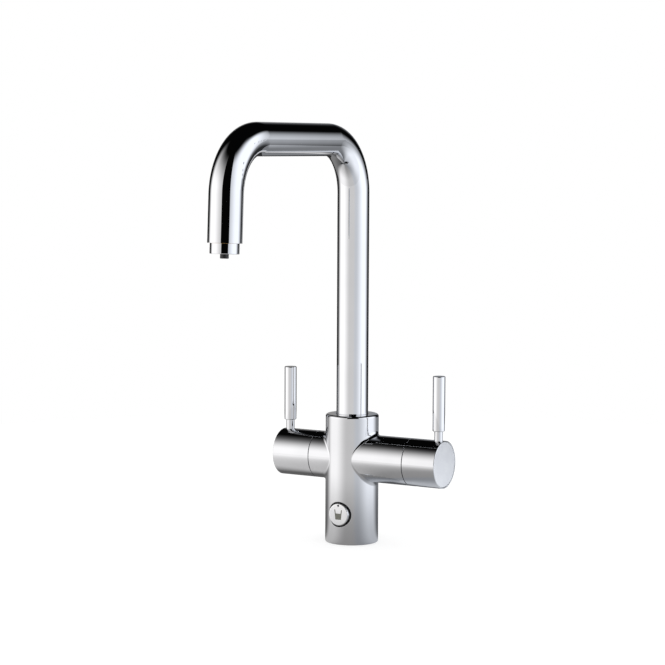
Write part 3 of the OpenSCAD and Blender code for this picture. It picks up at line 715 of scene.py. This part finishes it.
# ---------------------------------------------------------------------------- outlet
# A turned and chromed aerator housing screws up into the end of the drop. A black acetal
# nozzle for the boiling water stands out of its middle.
def turned(name, corners, steps=128, looped=False):
    """A piece turned about Z from an outline of (radius, height, rounding) corners.

    A looped outline makes a hollow piece; any other has its two ends closed by flat faces."""
    outline = rounded(corners)
    bpy.ops.object.select_all(action="DESELECT")
    bpy.ops.mesh.primitive_circle_add(
        vertices=steps, radius=outline[0].x, fill_type="NOTHING" if looped else "NGON",
    )
    piece = bpy.context.object
    piece.name = name
    piece.data.transform(Matrix.Translation((0, 0, outline[0].y)))
    bpy.ops.object.mode_set(mode="EDIT")
    bpy.ops.mesh.select_mode(type="EDGE")
    bpy.ops.mesh.select_all(action="SELECT")
    for here, there in zip(outline, outline[1:] + outline[:1] * looped):
        bpy.ops.mesh.extrude_edges_move(
            TRANSFORM_OT_translate={"value": (0, 0, there.y - here.y)},
        )
        share = there.x / here.x
        bpy.ops.transform.resize(value=(share, share, 1), center_override=(0, 0, there.y))
    if not looped:
        bpy.ops.mesh.edge_face_add()
    bpy.ops.mesh.select_all(action="SELECT")
    bpy.ops.mesh.remove_doubles(threshold=0.001)
    bpy.ops.mesh.normals_make_consistent(inside=False)
    bpy.ops.object.mode_set(mode="OBJECT")
    return piece


fine_round = 0.2         # the roundings that turned edges are given
edge_round = 0.3
end_round = 0.5
housing_r = 11.9
housing_h = 8.6
thread_r = 10.97
thread_l = 7.8
core_r = 9.25
lip_r = 8.5
lip_h = 1
aerator = turned("aerator_sleeve", [
    (lip_r, -housing_h, fine_round), (housing_r, -housing_h, end_round),
    (housing_r, 0, edge_round), (thread_r, 0, 0), (thread_r, thread_l, 0), (core_r, thread_l, 0),
    (core_r, lip_h - housing_h, 0), (lip_r, lip_h - housing_h, 0),
], looped=True)
settle(aerator, drop_frame)
true_round(aerator, (drop_frame.translation, drop_down, housing_r))
aerator.data.materials.append(polished_chrome)
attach(aerator, "spout")
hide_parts("aerator_housing")

# Black acetal: turned bar stock and mouldings with a soft sheen.
black_acetal = finish(
    "black_acetal", ("#08080A", "#0E0E11"), 0, (0.32, 0.42), patch=6, grain=0.5, relief=6,
)
nozzle_r = 3.5
nozzle_out = 3.7         # how far it stands out of the housing
nozzle_end = -housing_h - nozzle_out
nozzle_top = nozzle_end + 10
jet_r = 1.9              # the hole at its tip, which widens into a seat for the inner tube
seat_r = 2.54
seat_floor = nozzle_end + 4
nozzle = turned("hot_nozzle", [
    (jet_r, nozzle_end, fine_round), (nozzle_r, nozzle_end, end_round),
    (nozzle_r, nozzle_top, edge_round), (seat_r, nozzle_top, 0), (seat_r, seat_floor, 0),
    (jet_r, seat_floor, 0),
], steps=64, looped=True)
settle(nozzle, drop_frame)
true_round(nozzle, (drop_frame.translation, drop_down, nozzle_r))
nozzle.data.materials.append(black_acetal)
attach(nozzle, "spout")
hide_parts("boiling_nozzle")


# ---------------------------------------------------------------------------- handles
# Each handle is a turned brass barrel with a hub for the spindle, a grub screw hole through
# its wall, a threaded seat for its lever and a shallow recess for its end cap; chromed.
def on_handle_axis(side):
    """Lays a piece that was turned about Z along the handles' axis, outwards on its side."""
    return Matrix.Translation((0, 0, boss_z)) @ Matrix.Rotation(math.radians(90 * side), 4, "Y")


def handle(name, node, body, side, lever_x, grub):
    """Turns one barrel and drills its holes: the lever's on top, the screw's towards grub."""
    low, high = (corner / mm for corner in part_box(node))
    start, end = (low.x, high.x) if side > 0 else (-high.x, -low.x)
    web = end - cap_recess - web_thickness
    barrel = turned(name, [
        (spline_r, web, 0), (spline_r, start + hub_clear, 0), (hub_r, start + hub_clear, 0),
        (hub_r, web, 0), (boss_r - handle_wall, web, 0), (boss_r - handle_wall, start, 0),
        (boss_r, start, edge_round), (boss_r, end, handle_round), (cap_seat_r, end, lip_round),
        (cap_seat_r, end - cap_recess, 0),
    ], steps=around)
    barrel.data.transform(on_handle_axis(side))
    grub_middle = Vector((side * (start + hub_clear + grub_from_hub), 0, boss_z))
    # a stub joins the hub to the wall and gives the grub screw its thread
    stub_from = grub_middle + grub * (hub_r - stub_sink)
    stub_to = grub_middle + grub * (boss_r - handle_wall / 2)
    cut(barrel, drill(grub_boss_r, stub_from, stub_to), how="UNION")
    grub_mouth = grub_middle + grub * (boss_r + grub_mouth_out)
    lever_foot = Vector((lever_x, 0, boss_z + boss_r))
    cut(
        barrel,
        drill(grub_r, grub_mouth, grub_middle, countersink=grub_countersink),
        drill(neck_r + snug, lever_foot + upright, lever_foot - neck_seat * upright),
        drill(lever_hole_r, lever_foot, lever_foot - (neck_seat + lever_thread_l) * upright),
    )
    settle(barrel)
    true_round(barrel, ((0, 0, boss_z), sideways, boss_r))
    barrel.data.materials.append(polished_chrome)
    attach(barrel, body)
    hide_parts(node)


snug = 0.04              # the gap round a piece that is pushed in by hand
handle_wall = 2.6
handle_round = 0.7
lip_round = 0.15
cap_recess = 2.8
cap_seat_r = 19.74
web_thickness = 10.4
spline_r = 4.54
hub_r = 8
hub_clear = 3.1
grub_from_hub = 4.5
grub_r = 2.44
grub_boss_r = 4.2
stub_sink = 1            # how far the stub reaches into the hub
grub_mouth_out = 0.15    # the countersink starts this far above the barrel
grub_countersink = 0.25
neck_r = 3.75
neck_seat = 0.85
lever_hole_r = 2.49
lever_thread_l = 10
right_lever_x = sum(corner.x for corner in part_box("right_lever")) / 2 / mm
left_lever_x = sum(corner.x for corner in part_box("left_lever")) / 2 / mm
grub_tilt = math.radians(9)
down_and_forward = Vector((0, -math.sin(grub_tilt), -math.cos(grub_tilt)))
handle("mixer_barrel", "right_handle", "mixer_handle", 1, right_lever_x, down_and_forward)
handle("valve_barrel", "left_handle", "valve_handle", -1, left_lever_x, Vector((0, 1, 0)))

# ---------------------------------------------------------------------------- seam rings
# A black acetal ring fills the joint between each boss and its handle. It is turned a little
# smaller than they are, so the joint reads as a dark line.
seam_recess = 1.0
seam_t = 0.6
seam_hole_r = 13.0
seam_gap = 0.03          # keeps the ring off the handle that turns against it
for name, node, side in (
    ("mixer_seam", "right_seam_ring", 1),
    ("valve_seam", "left_seam_ring", -1),
):
    low, high = (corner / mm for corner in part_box(node))
    inner, outer = (low.x, high.x) if side > 0 else (-high.x, -low.x)
    outer -= seam_gap
    seam_r = boss_r - seam_recess
    seam = turned(name, [
        (seam_hole_r, inner, 0), (nut_r - snug, inner, 0), (nut_r - snug, outer - seam_t, 0),
        (seam_r, outer - seam_t, 0), (seam_r, outer, 0), (seam_hole_r, outer, 0),
    ], steps=around, looped=True)
    settle(seam, on_handle_axis(side))
    seam.data.materials.append(black_acetal)
    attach(seam, "base")
    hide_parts(node)

# ---------------------------------------------------------------------------- levers
# A lever is a chromed brass rod: a thick grip on a thinner neck, screwed into its handle.
lever_thread_r = 2.45
grip_r = 5.4
grip_round = 0.8
grip_foot = 104.5
middle_r = 1             # a turned end is closed by a flat face of this radius
for name, node, body, lever_x in (
    ("mixer_lever", "right_lever", "mixer_handle", right_lever_x),
    ("valve_lever", "left_lever", "valve_handle", left_lever_x),
):
    low, high = (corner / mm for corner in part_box(node))
    seat = boss_z + boss_r - neck_seat
    lever = turned(name, [
        (lever_thread_r, low.z, 0), (lever_thread_r, seat, 0), (neck_r, seat, 0),
        (neck_r, grip_foot, 0), (grip_r, grip_foot, grip_round), (grip_r, high.z, grip_round),
        (middle_r, high.z, 0),
    ], steps=64)
    settle(lever, Matrix.Translation((lever_x, 0, 0)))
    true_round(lever, ((lever_x, 0, 0), upright, grip_r), ((lever_x, 0, 0), upright, neck_r))
    lever.data.materials.append(polished_chrome)
    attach(lever, body)
    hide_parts(node)

# ---------------------------------------------------------------------------- end caps
# A thin disc closes the outer end of each handle. It is pressed in just below the barrel's
# lip and has a finer, satin grain than the barrel.
# Satin chrome: blasted with fine glass beads before plating, so it glows instead of mirroring.
satin_chrome = finish(
    "satin_chrome", ("#F4F5F7", "#F9FAFB"), 1, (0.28, 0.32), patch=9, grain=0.6, relief=0.5,
)
cap_r = 19.7
cap_round = 0.45
flat_from = 0.1          # a ring this far inside a rounded edge keeps the flat face flat
for name, node, body, side in (
    ("mixer_cap", "right_end_cap", "mixer_handle", 1),
    ("valve_cap", "left_end_cap", "valve_handle", -1),
):
    low, high = (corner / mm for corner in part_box(node))
    inner, outer = (low.x, high.x) if side > 0 else (-high.x, -low.x)
    cap = turned(name, [
        (cap_r, inner, 0), (cap_r, outer, cap_round),
        (cap_r - cap_round - flat_from, outer, 0), (middle_r, outer, 0),
    ], steps=around)
    settle(cap, on_handle_axis(side))
    cap.data.materials.append(satin_chrome)
    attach(cap, body)
    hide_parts(node)

# ---------------------------------------------------------------------------- button
# The push button's cap is a turned satin disc with a softly rounded edge. A tumbler shape is
# inlaid in its face and a small lamp shows through a hole above it.
button_low, button_high = (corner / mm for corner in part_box("button_cap"))
button_face = -button_low.y
button_skirt = -button_high.y
button_r = button_high.x
button_round = 0.8
plate = 3.4
post_r = 2               # a post in the middle presses the switch
skirt_r = button_r - 1.4
lens_up = 8.0
lens_r = 1.0
button = turned("push_button", [
    (post_r, button_skirt, 0), (post_r, button_face - plate, 0), (skirt_r, button_face - plate, 0),
    (skirt_r, button_skirt, 0), (button_r, button_skirt, 0), (button_r, button_face, button_round),
    (button_r - button_round - flat_from, button_face, 0), (middle_r, button_face, 0),
], steps=around)
on_front = Matrix.Translation((0, 0, pocket_z)) @ Matrix.Rotation(math.radians(90), 4, "X")
button.data.transform(on_front)

# the inlay's own shape, a little larger, cuts its recess
inlay_room = 1.02
inlay_depth_room = 1.05
inlay_cutter = nodes["tumbler_inlay"].copy()
inlay_cutter.data = inlay_cutter.data.copy()
inlay_cutter.parent = None
bpy.context.scene.collection.objects.link(inlay_cutter)
bpy.ops.object.select_all(action="DESELECT")
inlay_cutter.select_set(True)
bpy.context.view_layer.objects.active = inlay_cutter
bpy.ops.object.mode_set(mode="EDIT")
bpy.ops.mesh.select_all(action="SELECT")
bpy.ops.mesh.remove_doubles(threshold=mm * mm)
bpy.ops.object.mode_set(mode="OBJECT")
inlay_middle = sum(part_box("tumbler_inlay"), Vector()) / 2
inlay_cutter.data.transform(
    Matrix.Translation(inlay_middle / mm)
    @ Matrix.Diagonal((inlay_room, inlay_depth_room, inlay_room, 1))
    @ Matrix.Scale(1 / mm, 4)
    @ Matrix.Translation(-inlay_middle)
)
cut(
    button,
    inlay_cutter,
    drill(
        lens_r,
        (0, -button_face - drill_over, pocket_z + lens_up),
        (0, -button_skirt, pocket_z + lens_up),
    ),
)
settle(button)
# the front is dead flat right up to its cut edges
straight_on = -0.9999
for face in button.data.polygons:
    face.use_smooth = face.normal.y > straight_on
button.data.materials.append(satin_chrome)
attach(button, "button")
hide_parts("button_cap")

# ---------------------------------------------------------------------------- finishes
# The pieces that keep their CAD shape take the finish of their real material.
# Turned and drilled brass, left bare inside the tap: warm, with fine tool marks.
raw_brass = finish(
    "raw_brass", ("#B88F4A", "#D0A85C"), 1, (0.22, 0.36), patch=7, grain=0.6, relief=4,
)
# Stainless steel: drawn tube, spring wire and set screws, pickled to a grey satin.
stainless_steel = finish(
    "stainless_steel", ("#A9AAAC", "#BEBFC0"), 1, (0.2, 0.32), patch=5, grain=0.4, relief=3,
)
# EPDM rubber: moulded seals, matt black with a dusty bloom.
epdm_rubber = finish(
    "epdm_rubber", ("#141414", "#202020"), 0, (0.6, 0.8), patch=4, grain=0.3, relief=8,
)
# White acetal: moulded slide rings and cartridge parts, waxy and slightly warm.
white_acetal = finish(
    "white_acetal", ("#E6E5DE", "#EFEEE8"), 0, (0.3, 0.4), patch=8, grain=0.5, relief=4,
)
# Alumina ceramic: ground and lapped discs, dense white with a wet shine.
alumina_ceramic = finish(
    "alumina_ceramic", ("#E8E5DB", "#F0EDE4"), 0, (0.12, 0.2), patch=6, grain=0.2, relief=1,
)
# The tumbler's inlay: grey-green resin, filled flush and left matt.
pictogram_grey = finish(
    "pictogram_grey", ("#73736A", "#808076"), 0, (0.5, 0.62), patch=2, grain=0.2, relief=4,
)
# The lamp's lens: smoked polycarbonate, almost black while it is unlit.
smoked_lens = finish(
    "smoked_lens", ("#15151F", "#1B1B28"), 0, (0.08, 0.14), patch=1, grain=0.3, relief=1,
)
finishes = {
    "raw_brass": raw_brass,
    "stainless_steel": stainless_steel,
    "epdm_rubber": epdm_rubber,
    "white_acetal": white_acetal,
    "alumina_ceramic": alumina_ceramic,
    "black_acetal": black_acetal,
    "pictogram_grey": pictogram_grey,
    "smoked_lens": smoked_lens,
    "polished_chrome": polished_chrome,
    "satin_chrome": satin_chrome,
}
for node in nodes.values():
    for material_slot in node.material_slots:
        material_slot.material = finishes[material_slot.material.name.split(".")[0]]
